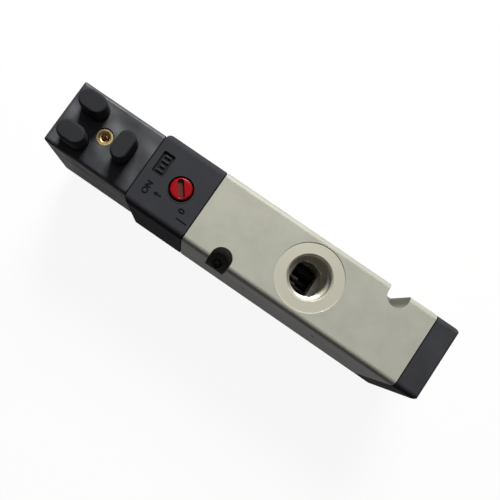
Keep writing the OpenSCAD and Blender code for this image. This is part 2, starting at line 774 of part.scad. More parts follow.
module head_housing() color(plastic_black) {
    x1 = head_x + head_l;
    difference() {
        x_bar(head_x, head_l) box_section(head_w, head_lift, body_h, head_edge_r, foot_edge_r);
        upright_waste(head_x, head_w, head_corner_r, -1);
        cross_waste(head_x, body_h, head_edge_r, 1);
        cross_waste(head_x, head_lift, head_foot_r, 2);
        x_rod(yoke_x - cavity_gap, x1 - yoke_x + cavity_gap + cut, cavity_r);
        translate([yoke_x - cavity_gap, -yoke_w / 2 - cavity_gap, yoke_foot - cavity_gap])
            cube([x1 - yoke_x + cavity_gap + cut, yoke_w + 2 * cavity_gap,
                  yoke_top - yoke_foot + 2 * cavity_gap]);
        for (s = [-1, 1]) translate([blade_x, s * blade_pitch / 2, 0]) {
            blade_slot_cut([blade_w, blade_t], blade_root_z - blade_slot);
            cap_seat(cap_long, cap_wide);
        }
        translate([ground_x, 0, 0]) {
            blade_slot_cut([blade_t, blade_w], ground_root_z);
            rotate(90) cap_seat(ground_cap_long, ground_cap_wide);
        }
        translate([insert_x, 0, insert_z - fit_gap]) cylinder(h = body_h, r = insert_r + fit_gap);
        for (p = head_screw_places)
            screw_cut(head_x, x1, p, -1, head_screw_r, head_screw_head_r, head_screw_head_t);
    }
}

module blade_slot_cut(size, z) {
    w = [size[0] + 2 * blade_slot, size[1] + 2 * blade_slot];
    translate([-w[0] / 2, -w[1] / 2, z]) cube([w[0], w[1], body_h - z + cut]);
}

// The shallow seat of a protective cap, round the blade that it covers
module cap_seat(long, wide) {
    translate([0, 0, body_h - cap_seat_t]) linear_extrude(cap_seat_t + cut)
        long_slot(long + 2 * cap_seat_gap, wide + 2 * cap_seat_gap);
}

module head_gasket() color(rubber_black)
    flat_gasket(base_x - gasket_t, head_w, head_lift, body_h, flange_r + fit_gap,
                head_screw_places, head_screw_r);

module head_screws() color(steel_grey)
    for (p = head_screw_places)
        socket_screw(head_x + pocket_sink, head_l - pocket_sink + gasket_t + head_screw_bite, p, 1,
                     head_screw_r, head_screw_head_r, head_screw_head_t);

module coil_bobbin() color("#E4DFCF") {
    x1 = bobbin_x + bobbin_l;
    core_r = tube_gap_r + bobbin_wall;
    x_turned([
        [tube_gap_r, bobbin_x], [bobbin_r, bobbin_x], [bobbin_r, bobbin_x + bobbin_flange_t],
        [core_r, bobbin_x + bobbin_flange_t], [core_r, x1 - bobbin_flange_t],
        [bobbin_r, x1 - bobbin_flange_t], [bobbin_r, x1], [tube_gap_r, x1]
    ]);
}

module coil_winding() color(copper_red) difference() {
    x0 = bobbin_x + bobbin_flange_t + fit_gap;
    l = bobbin_l - 2 * bobbin_flange_t - 2 * fit_gap;
    x_rod(x0, l, coil_r);
    x_rod(x0 - cut, l + 2 * cut, tube_gap_r + bobbin_wall + fit_gap);
}

module magnet_yoke() color(steel_grey) difference() {
    union() {
        for (x = [yoke_x, yoke_x + yoke_l - yoke_t])
            translate([x, -yoke_w / 2, yoke_foot]) cube([yoke_t, yoke_w, yoke_top - yoke_foot]);
        translate([yoke_x, -yoke_w / 2, strap_z]) cube([yoke_l, yoke_w, yoke_t]);
    }
    x_rod(yoke_x + yoke_l - yoke_t - cut, yoke_t + 2 * cut, tube_gap_r);
}

module guide_tube() color(steel_grey) x_turned([
    [0, tube_x], [tube_out_r, tube_x], [tube_out_r, tube_end - flange_t],
    [flange_r, tube_end - flange_t], [flange_r, tube_end], [tube_r, tube_end],
    [tube_r, tube_x + tube_floor_t], [0, tube_x + tube_floor_t]
]);

module fixed_core() color(steel_grey) difference() {
    x_rod(core_start, core_end - core_start, tube_r - fit_gap);
    x_rod(core_end - 0.8, 0.8 + cut, small_spring_bore_r);
}

module armature() color(steel_grey) {
    x1 = armature_x + armature_l;
    x_turned([
        [small_spring_bore_r, armature_x], [armature_r, armature_x], [armature_r, x1],
        [armature_seal_r, x1], [armature_seal_r, x1 - armature_seal_t],
        [0, x1 - armature_seal_t], [0, armature_x + small_spring_depth],
        [small_spring_bore_r, armature_x + small_spring_depth]
    ]);
}

module armature_seal() color(rubber_black)
    x_rod(armature_x + armature_l - armature_seal_t, armature_seal_t, armature_seal_r);

module armature_spring() color(steel_grey) {
    x0 = core_end - 0.75;
    helix(x0, armature_x + small_spring_depth - 0.05 - x0,
          small_spring_r, small_spring_wire, small_spring_turns);
}

module connector_insert() color(brass_gold) translate([insert_x, 0, 0]) difference() {
    translate([0, 0, insert_z]) cylinder(h = insert_l, r = insert_r);
    translate([0, 0, insert_z + insert_floor]) cylinder(h = body_h, r = insert_hole_r);
}

// A flat blade with a tapered tip; the drawing plane is the blade's wide face
module blade(root_z) {
    tip = blade_w / 6;
    top = body_h + blade_h;
    rotate([90, 0, 0]) linear_extrude(blade_t, center = true) polygon([
        [-blade_w / 2, root_z], [blade_w / 2, root_z], [blade_w / 2, top - tip],
        [blade_w / 2 - tip, top], [-blade_w / 2 + tip, top], [-blade_w / 2, top - tip]
    ]);
}

module contact_blade(side) color(steel_grey)
    translate([blade_x, side * blade_pitch / 2, 0]) blade(blade_root_z);

module contact_blade_1() contact_blade(1);
module contact_blade_2() contact_blade(-1);

module ground_blade() color(steel_grey)
    translate([ground_x, 0, 0]) rotate(90) blade(ground_root_z);

// A push-on cap with round ends and a chamfered top, over a blade at the origin
module push_cap(long, wide) {
    h = cap_seat_t + blade_h + cap_top_t;
    r = wide / 2;
    c = cap_chamfer;
    span = long - wide;
    pocket = [blade_w + 2 * cap_pocket_gap, blade_t + 2 * cap_pocket_gap];
    translate([0, 0, body_h - cap_seat_t]) difference() {
        union() {
            for (s = [-1, 1]) translate([s * span / 2, 0, 0]) {
                cylinder(h = h - c, r = r);
                translate([0, 0, h - c]) cylinder(h = c, r1 = r, r2 = r - c);
            }
            rotate([90, 0, 90]) linear_extrude(span, center = true)
                polygon([[-r, 0], [r, 0], [r, h - c], [r - c, h], [c - r, h], [-r, h - c]]);
        }
        translate([-pocket[0] / 2, -pocket[1] / 2, -cut])
            cube([pocket[0], pocket[1], cap_seat_t + blade_h + cap_pocket_gap + cut]);
    }
}

module contact_cap(side) color(rubber_black)
    translate([blade_x, side * blade_pitch / 2, 0]) push_cap(cap_long, cap_wide);

module contact_cap_1() contact_cap(1);
module contact_cap_2() contact_cap(-1);

module ground_cap() color(rubber_black)
    translate([ground_x, 0, 0]) rotate(90) push_cap(ground_cap_long, ground_cap_wide);

body();
seal_spacers();
spool_seals();
spool();
pilot_piston();
piston_seal();
return_spring();
end_cap();
end_gasket();
end_cap_screws();
pilot_base();
base_gasket();
base_screws();
pilot_seat();
tube_seal();
override_knob();
knob_seal();
knob_dowel();
override_pin();
pin_seal();
head_housing();
head_gasket();
head_screws();
coil_bobbin();
coil_winding();
magnet_yoke();
guide_tube();
fixed_core();
armature();
armature_seal();
armature_spring();
connector_insert();
contact_blade_1();
contact_blade_2();
ground_blade();
contact_cap_1();
contact_cap_2();
ground_cap();
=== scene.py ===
from math import pi, radians, tau

import bmesh
import bpy
from mathutils import Matrix, Vector


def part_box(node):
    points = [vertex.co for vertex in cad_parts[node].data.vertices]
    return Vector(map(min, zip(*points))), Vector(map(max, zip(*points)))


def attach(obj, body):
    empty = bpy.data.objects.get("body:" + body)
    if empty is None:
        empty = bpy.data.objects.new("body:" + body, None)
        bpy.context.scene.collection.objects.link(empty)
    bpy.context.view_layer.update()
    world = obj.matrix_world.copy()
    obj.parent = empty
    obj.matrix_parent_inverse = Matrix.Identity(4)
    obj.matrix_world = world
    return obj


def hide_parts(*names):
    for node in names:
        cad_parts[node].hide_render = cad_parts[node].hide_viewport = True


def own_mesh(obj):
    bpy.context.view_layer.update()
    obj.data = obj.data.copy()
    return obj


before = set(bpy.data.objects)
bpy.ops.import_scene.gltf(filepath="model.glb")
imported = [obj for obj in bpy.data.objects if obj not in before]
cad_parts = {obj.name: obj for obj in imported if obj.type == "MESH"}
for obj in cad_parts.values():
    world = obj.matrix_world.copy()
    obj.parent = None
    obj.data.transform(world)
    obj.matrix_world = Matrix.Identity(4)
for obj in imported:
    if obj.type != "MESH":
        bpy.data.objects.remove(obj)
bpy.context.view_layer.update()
MM = 0.001


# Camera
# It looks down on the valve from 214 mm above the mounting face, and a little from the -Y
# side. Its focal length and shift put the valve where the photograph has it.
SENSOR_WIDTH = 36
FOCAL_PIXELS = 590
FRAME_PIXELS = 500
camera_data = bpy.data.cameras.new("camera")
camera_data.sensor_width = SENSOR_WIDTH
camera_data.lens = SENSOR_WIDTH * FOCAL_PIXELS / FRAME_PIXELS
camera_data.shift_x = 0.132
camera_data.shift_y = 0.0088
camera_data.clip_start = 0.01
camera = bpy.data.objects.new("camera", camera_data)
camera.location = Vector((-4.24, -30.82, 213.89)) * MM
camera.rotation_euler = [radians(angle) for angle in (5.629, -0.641, 34.739)]
bpy.context.scene.collection.objects.link(camera)
bpy.context.scene.camera = camera


# Valve body
# A block of die-cast aluminium, bead blasted to an even warm grey. The seal faces round the
# ports and the port walls are turned bright afterwards, with fine rings from the cutter.
BODY_GREY = "#B5B5AA"
BODY_GREY_DARK = "#AEAEA3"
POCKET_PAINTED_SHADE = "#8A8A80"
TURNED_BRIGHT = "#D9D6C6"
FINE_GRAIN = {"Detail": 3.0, "Roughness": 0.55}
SOFT_ANGLE = radians(35)
body_low, body_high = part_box("body")
body_middle_z = body_high.z / 2
upper_port = Vector(((body_low.x + body_high.x) / 2, 0, body_high.z))
port_pitch = 12 * MM
port_r = 6.58 * MM
seal_face_r = 10.62 * MM
bore_low_z = 13 * MM
bore_high_z = 27 * MM
pocket_r = 3.4 * MM
pocket_y = 10.3 * MM
pocket_end = 12.8 * MM
pocket_floor_z = 22 * MM


def linear(hex_colour):
    """An sRGB hex colour as the linear RGBA that the shaders work in."""
    channels = [int(hex_colour[i:i + 2], 16) / 255 for i in (1, 3, 5)]
    return tuple(c / 12.92 if c <= 0.04045 else ((c + 0.055) / 1.055) ** 2.4
                 for c in channels) + (1,)


def add_node(material, kind, *inputs, stops=(), **named):
    """Adds one shader node and gives its outputs.

    An input is a value or another node's output, in the order of the sockets or by the
    socket's name, and None leaves its socket as it is. Names in lower case are settings of
    the node. The stops are a colour ramp's, each a position with a hex colour.
    """
    tree = material.node_tree
    made = tree.nodes.new("ShaderNode" + kind)
    wanted = dict(enumerate(inputs))
    for name, value in named.items():
        if name[0].islower():
            setattr(made, name, value)
        else:
            wanted[name.replace("_", " ")] = value
    for socket, value in wanted.items():
        if isinstance(value, bpy.types.NodeSocket):
            tree.links.new(value, made.inputs[socket])
        elif value is not None:
            made.inputs[socket].default_value = value
    for i, (position, colour) in enumerate(stops):
        made.color_ramp.elements[i].position = position
        made.color_ramp.elements[i].color = linear(colour)
    return made.outputs


def new_finish(name, **plain):
    """A material, its main shader with its plain values, and the piece's own coordinates."""
    material = bpy.data.materials.new(name)
    material.use_nodes = True
    shader = material.node_tree.nodes["Principled BSDF"]
    for socket, value in plain.items():
        shader.inputs[socket.replace("_", " ")].default_value = value
    return material, shader, add_node(material, "TexCoord")["Object"]


def link(material, shader, **outputs):
    """Links outputs to a shader's sockets by their names."""
    for socket, output in outputs.items():
        material.node_tree.links.new(output, shader.inputs[socket.replace("_", " ")])


def round_the_ports(material, place, height):
    """How far a point is from its port's axis, and where faces and port walls are turned."""
    flat = add_node(material, "VectorMath", place, (1, 1, 0), operation="MULTIPLY")[0]
    upper, left, right = [
        add_node(material, "VectorMath", flat, (upper_port.x + side * port_pitch, 0, 0),
                 operation="DISTANCE")[1] for side in (0, -1, 1)]
    lower = add_node(material, "Math", left, right, operation="MINIMUM")[0]
    is_upper = add_node(material, "Math", height, body_middle_z, operation="GREATER_THAN")[0]
    radius = add_node(material, "Mix", is_upper, None, lower, upper, data_type="FLOAT")[0]
    # The spool's bore between the ports' floors is left dull.
    over = add_node(material, "Math", height, bore_low_z, operation="GREATER_THAN")[0]
    under = add_node(material, "Math", height, bore_high_z, operation="LESS_THAN")[0]
    in_bore = add_node(material, "Math", over, under, operation="MULTIPLY")[0]
    outside = add_node(material, "Math", 1.0, in_bore, operation="SUBTRACT")[0]
    near = add_node(material, "Math", radius, seal_face_r, operation="LESS_THAN")[0]
    turned = add_node(material, "Math", near, outside, operation="MULTIPLY")[0]
    in_port = add_node(material, "Math", radius, port_r + 0.1 * MM, operation="LESS_THAN")[0]
    wall = add_node(material, "Math", in_port, turned, operation="MULTIPLY")[0]
    return radius, turned, wall


def screw_pocket_shade_mask(material, place, off_middle, height):
    """Where the two screw pockets are, and the mounting holes in their floors: the mask of their
    painted shade.
    """
    slack = 0.03 * MM
    inside = []
    for x, side in ((body_low.x + pocket_end, -1), (body_high.x - pocket_end, 1)):
        offset = add_node(material, "VectorMath", place, (x, side * pocket_y, 0),
                          operation="SUBTRACT")[0]
        outward = add_node(material, "VectorMath", offset, (1, side, 0),
                           operation="MULTIPLY")[0]
        # From its axis to the side face the pocket runs straight out, so only x counts there.
        inward = add_node(material, "VectorMath", outward, (1, 0, 1), operation="MINIMUM")[0]
        away = add_node(material, "VectorMath", inward, operation="LENGTH")[1]
        inside.append(add_node(material, "Math", away, pocket_r + slack,
                               operation="LESS_THAN")[0])
    either = add_node(material, "Math", *inside, operation="MAXIMUM")[0]
    above_floor = add_node(material, "Math", height, pocket_floor_z - slack,
                           operation="GREATER_THAN")[0]
    off_foot = add_node(material, "Math", height, 1 * MM, operation="GREATER_THAN")[0]
    off_side = add_node(material, "Math", off_middle, body_high.y - 0.1 * MM,
                        operation="LESS_THAN")[0]
    in_hole = add_node(material, "Math", off_foot, off_side, operation="MULTIPLY")[0]
    in_height = add_node(material, "Math", above_floor, in_hole, operation="MAXIMUM")[0]
    return add_node(material, "Math", either, in_height, operation="MULTIPLY")[0]


def blasted_aluminium():
    """Die-cast aluminium: matte where it is blasted, bright and ringed where it is turned.

    The two long sides keep faint lines along the valve from the belt that levelled them. The
    screw pockets are painted a darker grey, which is painted shade in their hollows.
    """
    material, shader, place = new_finish("die_cast_aluminium_blasted", Specular_IOR_Level=0.2)
    _, across, height = add_node(material, "SeparateXYZ", place)
    off_middle = add_node(material, "Math", across, operation="ABSOLUTE")[0]
    radius, turned, wall = round_the_ports(material, place, height)
    pocket_shade = screw_pocket_shade_mask(material, place, off_middle, height)
    is_side = add_node(material, "Math", off_middle, body_high.y - 0.4 * MM,
                       operation="GREATER_THAN")[0]
    # The belt's lines are 0.2 mm apart; they are drawn at 0.9 mm so that they show.
    along = add_node(material, "Mapping", Vector=place, Scale=(0.03, 1, 1))[0]
    belt_lines = add_node(material, "TexNoise", Vector=along, Scale=1 / (0.9 * MM),
                          **FINE_GRAIN)[0]
    mottle = add_node(material, "TexNoise", Vector=place, Scale=1 / (6 * MM), **FINE_GRAIN)[0]
    shade = add_node(material, "Mix", is_side, None, mottle, belt_lines, data_type="FLOAT")[0]
    blasted = add_node(material, "ValToRGB", shade,
                       stops=((0.35, BODY_GREY_DARK), (0.65, BODY_GREY)))[0]
    # Painted shade: the screw pockets' walls are painted a darker grey.
    pocket_shaded_colour = add_node(material, "MixRGB", pocket_shade, blasted, linear(POCKET_PAINTED_SHADE))[0]
    colour = add_node(material, "MixRGB", turned, pocket_shaded_colour, linear(TURNED_BRIGHT))[0]
    metal = add_node(material, "Math", turned, 0.3, 0.12, operation="MULTIPLY_ADD")[0]
    metal = add_node(material, "Math", wall, 0.5, metal, operation="MULTIPLY_ADD")[0]
    # The beads leave dimples 0.1 mm across; they are drawn at 0.5 mm so that they show.
    speckle = add_node(material, "TexNoise", Vector=place, Scale=1 / (0.5 * MM),
                       **FINE_GRAIN)[0]
    rough = add_node(material, "Math", speckle, 0.1, 0.5, operation="MULTIPLY_ADD")[0]
    worn = add_node(material, "Math", is_side, belt_lines, operation="MULTIPLY")[0]
    for share, change in ((worn, -0.3), (turned, -0.18), (wall, 0.1)):
        rough = add_node(material, "Math", share, change, rough, operation="MULTIPLY_ADD")[0]
    # The cutter's rings are 0.05 mm apart; they are drawn at 0.45 mm so that they show.
    phase = add_node(material, "Math", radius, tau / (0.45 * MM), operation="MULTIPLY")[0]
    rings = add_node(material, "Math", phase, operation="SINE")[0]
    rings = add_node(material, "Math", rings, 0.25, operation="MULTIPLY")[0]
    rings = add_node(material, "Math", rings, turned, operation="MULTIPLY")[0]
    blast = add_node(material, "Math", 1.15, turned, operation="SUBTRACT")[0]
    blast = add_node(material, "Math", speckle, blast, operation="MULTIPLY")[0]
    relief = add_node(material, "Math", rings, blast, operation="ADD")[0]
    bump = add_node(material, "Bump", Height=relief, Distance=0.03 * MM, Strength=0.6)[0]
    link(material, shader, Base_Color=colour, Metallic=metal, Roughness=rough, Normal=bump)
    return material


def to_piece(mesh, name, body, slot, material, *replaced):
    """Makes the bmesh an object that rides on a body, shaded softly over its shallow edges."""
    for face in mesh.faces:
        face.smooth = True
    for edge in mesh.edges:
        edge.smooth = edge.is_manifold and edge.calc_face_angle(0) < SOFT_ANGLE
    data = bpy.data.meshes.new(name)
    mesh.to_mesh(data)
    mesh.free()
    piece = bpy.data.objects.new(name, data)
    bpy.context.scene.collection.objects.link(piece)
    data.materials.append(material)
    even = piece.modifiers.new("even_normals", "WEIGHTED_NORMAL")
    even.keep_sharp = True
    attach(piece, body)
    if replaced:
        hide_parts(*replaced)
    return piece


def eased(node, body, slot, material, width, sharp=25, crisp=lambda middle: False,
          split=False):
    """A copy of a CAD node with its sharp edges broken by a small round, as moulds and files do.

    An edge stays as it is where crisp says so of its middle. Flat faces are split where they
    run in one piece round a small hole, because the round would fold them over it.
    """
    mesh = bmesh.new()
    mesh.from_mesh(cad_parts[node].data)
    bmesh.ops.remove_doubles(mesh, verts=mesh.verts, dist=0.001 * MM)
    bmesh.ops.dissolve_limit(mesh, angle_limit=radians(0.1), use_dissolve_boundaries=False,
                             verts=mesh.verts, edges=mesh.edges)
    if split:
        bmesh.ops.connect_verts_concave(
            mesh, faces=[face for face in mesh.faces if len(face.verts) > 4])
    corners = [edge for edge in mesh.edges
               if edge.is_manifold and edge.calc_face_angle(0) > radians(sharp)
               and not crisp((edge.verts[0].co + edge.verts[1].co) / 2)]
    bmesh.ops.bevel(mesh, geom=corners, offset=width, offset_type="OFFSET", affect="EDGES",
                    segments=2, profile=0.5, material=-1, clamp_overlap=True)
    return to_piece(mesh, f"{node}_finished", body, slot, material, node)


def on_seal_face_step(middle):
    """The cutter leaves the shallow step round a seal face sharp."""
    reach = 0.3 * MM
    from_axes = [(middle.xy - Vector((upper_port.x + side * port_pitch, 0))).length
                 for side in (-1, 0, 1)]
    return (any(abs(distance - seal_face_r) < reach for distance in from_axes)
            and abs(middle.z - body_middle_z) > body_middle_z - reach)


cast_aluminium = blasted_aluminium()
eased("body", "valve", "die_cast_body", cast_aluminium, width=0.2 * MM,
      crisp=on_seal_face_step)


# Port threads
# G 1/4 pipe thread, 19 turns to the inch, tapped in the wall of each port. It is the ridge
# between the turns that stands into the port, bright like the rest of the turned metal.
PORT_THREAD_PITCH = 1.337 * MM
PORT_THREAD_DEPTH = 0.78 * MM
UPPER_THREAD_Z = (29.2 * MM, 38.4 * MM)
LOWER_THREAD_Z = (1.6 * MM, 9.4 * MM)


def uneven_finish(name, spots, dark, light, rough, spread, stretch=None, stops=(0.3, 0.7),
                  **plain):
    """A finish whose colour and shine vary by a little, in spots of the given size."""
    material, shader, place = new_finish(name, **plain)
    if stretch:
        place = add_node(material, "Mapping", Vector=place, Scale=stretch)[0]
    speckle = add_node(material, "TexNoise", Vector=place, Scale=1 / spots, **FINE_GRAIN)[0]
    colour = add_node(material, "ValToRGB", speckle, stops=zip(stops, (dark, light)))[0]
    shine = add_node(material, "Math", speckle, spread, rough, operation="MULTIPLY_ADD")[0]
    link(material, shader, Base_Color=colour, Roughness=shine)
    return material


def thread_ridge(name, centre_x, hole_r, depth, pitch, z_low, z_high, material, slot,
                 per_turn=48):
    """One ridge wound up the wall of an upright hole, from a section of four points."""
    turns = (z_high - z_low) / pitch
    steps = round(turns * per_turn)
    wall_r, crest_r = hole_r + 0.02 * MM, hole_r - depth
    foot, crest = 0.42 * pitch, 0.12 * pitch
    mesh = bmesh.new()
    section = [mesh.verts.new((centre_x + r, 0, z_low + z)) for r, z in
               ((wall_r, -foot), (wall_r, foot), (crest_r, crest), (crest_r, -crest))]
    face = mesh.faces.new(section)
    bmesh.ops.spin(mesh, geom=[face, *face.edges, *face.verts], cent=(centre_x, 0, 0),
                   axis=(0, 0, 1), dvec=(0, 0, (z_high - z_low) / steps),
                   angle=tau * turns, steps=steps)
    bmesh.ops.recalc_face_normals(mesh, faces=mesh.faces)
    to_piece(mesh, name, "valve", slot, material)


# Bare cut aluminium: bright, with a faint streak along the cut.
bright_aluminium = uneven_finish("aluminium_turned", 0.6 * MM, "#BDB9AA", TURNED_BRIGHT,
                                 rough=0.38, spread=0.15, Metallic=0.92)
for port, side, (z_low, z_high) in (("port_2", 0, UPPER_THREAD_Z),
                                    ("port_3", -1, LOWER_THREAD_Z),
                                    ("port_1", 1, LOWER_THREAD_Z)):
    thread_ridge(f"{port}_thread", upper_port.x + side * port_pitch, port_r,
                 PORT_THREAD_DEPTH, PORT_THREAD_PITCH, z_low, z_high, bright_aluminium,
                 "die_cast_body")


# Seal stack, spool and pilot piston
# Three moulded cages, a bush and a sleeve space four nitrile seals along the bore. The ground
# and nitrided spool slides in them, pushed by a moulded piston with its own seal.
CLOUD_SIZE = 7 * MM
SINK_SIZE = 8 * MM
ROUND_THE_AXIS = (1, 0.04, 0.04)
# The fingers' places are in millimetres, as straight_bar takes them.
FINGER_X = (18.7, 21.5)
FINGER_Z = (24.1, 25.1)
FINGER_HALF = 0.4


def moulded_polymer(name, dark, light, rough, texture, relief, gloss=0.5, sink=0):
    """A moulded plastic: even colour, a soft sheen, and the fine grain of an etched mould.

    The grain is 0.1 to 0.2 mm; texture is the coarser size at which it is drawn, so that it
    shows. A thick moulding also sinks by a little in broad shallow waves as it cools.
    """
    material, shader, place = new_finish(name, IOR=1.5, Specular_IOR_Level=gloss)
    cloud = add_node(material, "TexNoise", Vector=place, Scale=1 / CLOUD_SIZE, Detail=2.0,
                     Roughness=0.55)[0]
    colour = add_node(material, "ValToRGB", cloud, stops=((0.3, dark), (0.7, light)))[0]
    spots = add_node(material, "TexNoise", Vector=place, Scale=1 / texture, **FINE_GRAIN)[0]
    uneven = add_node(material, "Math", cloud, 0.16, rough - 0.08,
                      operation="MULTIPLY_ADD")[0]
    shine = add_node(material, "Math", spots, 0.08, uneven, operation="MULTIPLY_ADD")[0]
    waves = None
    if sink:
        broad = add_node(material, "TexNoise", Vector=place, Scale=1 / SINK_SIZE, Detail=0.0,
                         Roughness=0.55)[0]
        waves = add_node(material, "Bump", Height=broad, Distance=sink, Strength=1.0)[0]
    bump = add_node(material, "Bump", Height=spots, Distance=relief, Strength=0.5,
                    Normal=waves)[0]
    link(material, shader, Base_Color=colour, Roughness=shine, Normal=bump)
    return material


def paint(material, *nodes):
    """Gives CAD nodes a finish."""
    for node in nodes:
        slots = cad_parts[node].data.materials
        slots.clear()
        slots.append(material)


def straight_bar(mesh, low, high):
    """Adds a bar between two corners given in millimetres, with its edges broken."""
    size = (Vector(high) - Vector(low)) * MM
    middle = (Vector(high) + Vector(low)) / 2 * MM
    made = bmesh.ops.create_cube(mesh, size=1)["verts"]
    bmesh.ops.transform(mesh, verts=made,
                        matrix=Matrix.Translation(middle) @ Matrix.Diagonal((*size, 1)))
    edges = list(dict.fromkeys(edge for vert in made for edge in vert.link_edges))
    bmesh.ops.bevel(mesh, geom=edges, offset=min(size) * 0.2, offset_type="OFFSET",
                    affect="EDGES", segments=2, profile=0.5, material=-1, clamp_overlap=True)


# The cages are an evenly black, half dull moulding, and the fingers a pale grey one, which is a
# painted highlight.
cage_polymer = moulded_polymer("polyamide_cage_black", "#1D1E20", "#26272A", 0.5, 0.3 * MM,
                               0.01 * MM)
finger_highlight_polymer = moulded_polymer("polyamide_grey_painted_highlight", "#8A8A80", "#9A9A90", 0.4,
                                 0.3 * MM, 0.01 * MM)
# Steel turned and ground on a lathe, with fine lines round the X axis. They are about 0.01 mm
# apart, and are drawn at 0.15 mm so that they show. The spool is nitrided dark, and is drawn
# nearly black as painted shade for the dim bore.
steel = uneven_finish("steel_ground", 0.15 * MM, "#9DA0A3", "#BCBEC0", rough=0.24,
                      spread=0.16, stretch=ROUND_THE_AXIS, Metallic=1.0)
spool_shade_steel = uneven_finish("steel_nitrided_painted_shade", 0.15 * MM, "#1E1F20", "#2A2B2D", rough=0.24,
                           spread=0.16, stretch=ROUND_THE_AXIS, Metallic=1.0)
# Moulded nitrile rubber: dull, nearly black, slightly dusty.
rubber = uneven_finish("nitrile_rubber", 0.8 * MM, "#0B0B0C", "#151516", rough=0.6,
                       spread=0.2, IOR=1.5, Specular_IOR_Level=0.15)
paint(cage_polymer, "seal_spacers", "pilot_piston")
paint(spool_shade_steel, "spool")
paint(rubber, "spool_seals", "piston_seal")

# Two fingers on the middle cage's ring show through the upper port, pale grey as a painted
# highlight.
fingers = bmesh.new()
for y in (-0.1, -2.1):
    straight_bar(fingers, (FINGER_X[0], y - FINGER_HALF, FINGER_Z[0]),
                 (FINGER_X[1], y + FINGER_HALF, FINGER_Z[1]))
to_piece(fingers, "cage_fingers", "valve", "black_polymer", finger_highlight_polymer)


# Return spring and armature spring
# Round spring steel wire, wound. One stands between the spool's shoulder and the end cap and
# one behind the armature, and each is pressed shorter when its piece is driven.
SPRING_STEPS = 32
spool_axis_z = 19 * MM


def wound_spring(node, turns, wire):
    """A spring of round wire in the space of its CAD node, on a mesh of its own."""
    low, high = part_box(node)
    coil_r = (high.y - low.y - wire) / 2
    start = (low.x + wire / 2, coil_r, spool_axis_z)
    mesh = bmesh.new()
    bmesh.ops.create_circle(mesh, cap_ends=True, segments=12, radius=wire / 2,
                            matrix=Matrix.Translation(start))
    steps = turns * SPRING_STEPS
    bmesh.ops.spin(mesh, geom=[*mesh.faces, *mesh.edges, *mesh.verts],
                   cent=(0, 0, spool_axis_z), axis=(1, 0, 0),
                   dvec=((high.x - low.x - wire) / steps, 0, 0), angle=tau * turns,
                   steps=steps)
    bmesh.ops.recalc_face_normals(mesh, faces=mesh.faces)
    piece = to_piece(mesh, f"{node}_wire", "valve", "steel", spring_wire, node)
    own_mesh(piece)


# Hard drawn wire with a smooth bluish skin.
spring_wire = uneven_finish("steel_spring_wire", 0.4 * MM, "#83868B", "#A3A6AA", rough=0.25,
                            spread=0.15, Metallic=1.0)
wound_spring("return_spring", 8, 0.8 * MM)
wound_spring("armature_spring", 7, 0.35 * MM)


# Gaskets and seals
# Flat nitrile gaskets, cut from sheet, show as thin black lines between head, base, body and
# end cap. Moulded nitrile rings seal the tube, the override, its pin and the armature.
paint(rubber, "end_gasket", "base_gasket", "head_gasket", "tube_seal", "knob_seal",
      "pin_seal", "armature_seal")


# End cap
# It closes the bore and holds the return spring. It is moulded in black glass-filled
# polyamide, dull with a fine etched grain, and two socket screws hold it.
black_polyamide = moulded_polymer("polyamide_black", "#343539", "#3D3E42", 0.65, 0.35 * MM,
                                  0.02 * MM, gloss=0.15)
eased("end_cap", "valve", "black_polymer", black_polyamide, width=0.2 * MM)


# Assembly screws
# Steel socket-head screws, blackened by heat treatment. They clamp the end cap and the pilot
# base to the body, and the solenoid head to the base. The skin is dark and oily, with bare
# metal showing on the edges.
screw_steel = uneven_finish("steel_blackened", 0.5 * MM, "#5E6063", "#8C8E90", rough=0.3,
                            spread=0.2, stops=(0.4, 0.75), Metallic=1.0)
for node in ("end_cap_screws", "base_screws", "head_screws"):
    eased(node, "valve", "steel", screw_steel, width=0.12 * MM)


# Pilot base
# Moulded in a duller black polyamide. Its upper face carries the override's raised rim, marks
# for the two override positions, and a sunk window with plain raised bars.
top_z = body_high.z
WINDOW_DEPTH = 0.7 * MM
MARK_HEIGHT = 0.12 * MM
# The marks' and bars' places are in millimetres, as straight_bar takes them.
MARK_Z = (39.88, 40.12)
BAR_LENGTHS = (2.4, 1.6, 2.4, 2.0)
BAR_X = -33
BAR_Y = 0.75
BAR_Z = (39.25, 39.75)
BAR_PITCH = 1.6
BAR_WIDTH = 0.6
base_polymer = moulded_polymer("polyamide_base_black", "#35363B", "#3A3B40", 0.7, 0.35 * MM,
                               0.02 * MM, gloss=0.1)
# The marks are painted nearly black, as painted shade, and the window's floor is painted dark,
# also as painted shade. The bars are a tone lighter than that floor and darker than the face.
mark_shade_polymer = moulded_polymer("polyamide_marks_painted_shade", "#08090A", "#0D0E0F", 0.6, 0.3 * MM,
                               0.01 * MM, gloss=0.1)
window_shade_polymer = moulded_polymer("polyamide_window_painted_shade", "#1E1F22", "#242528", 0.6,
                                 0.3 * MM, 0.01 * MM, gloss=0.1)
bar_polymer = moulded_polymer("polyamide_bars_mid_dark", "#26272A", "#313236", 0.45, 0.3 * MM,
                              0.01 * MM, gloss=0.2)
finished_base = eased("pilot_base", "valve", "black_polymer", base_polymer, width=0.15 * MM)
finished_base.data.materials.append(window_shade_polymer)
# The window's floor faces take the painted shade.
for face in finished_base.data.polygons:
    if face.normal.z > 0.9 and abs(face.center.z - (top_z - WINDOW_DEPTH)) < 0.05 * MM:
        face.material_index = 1


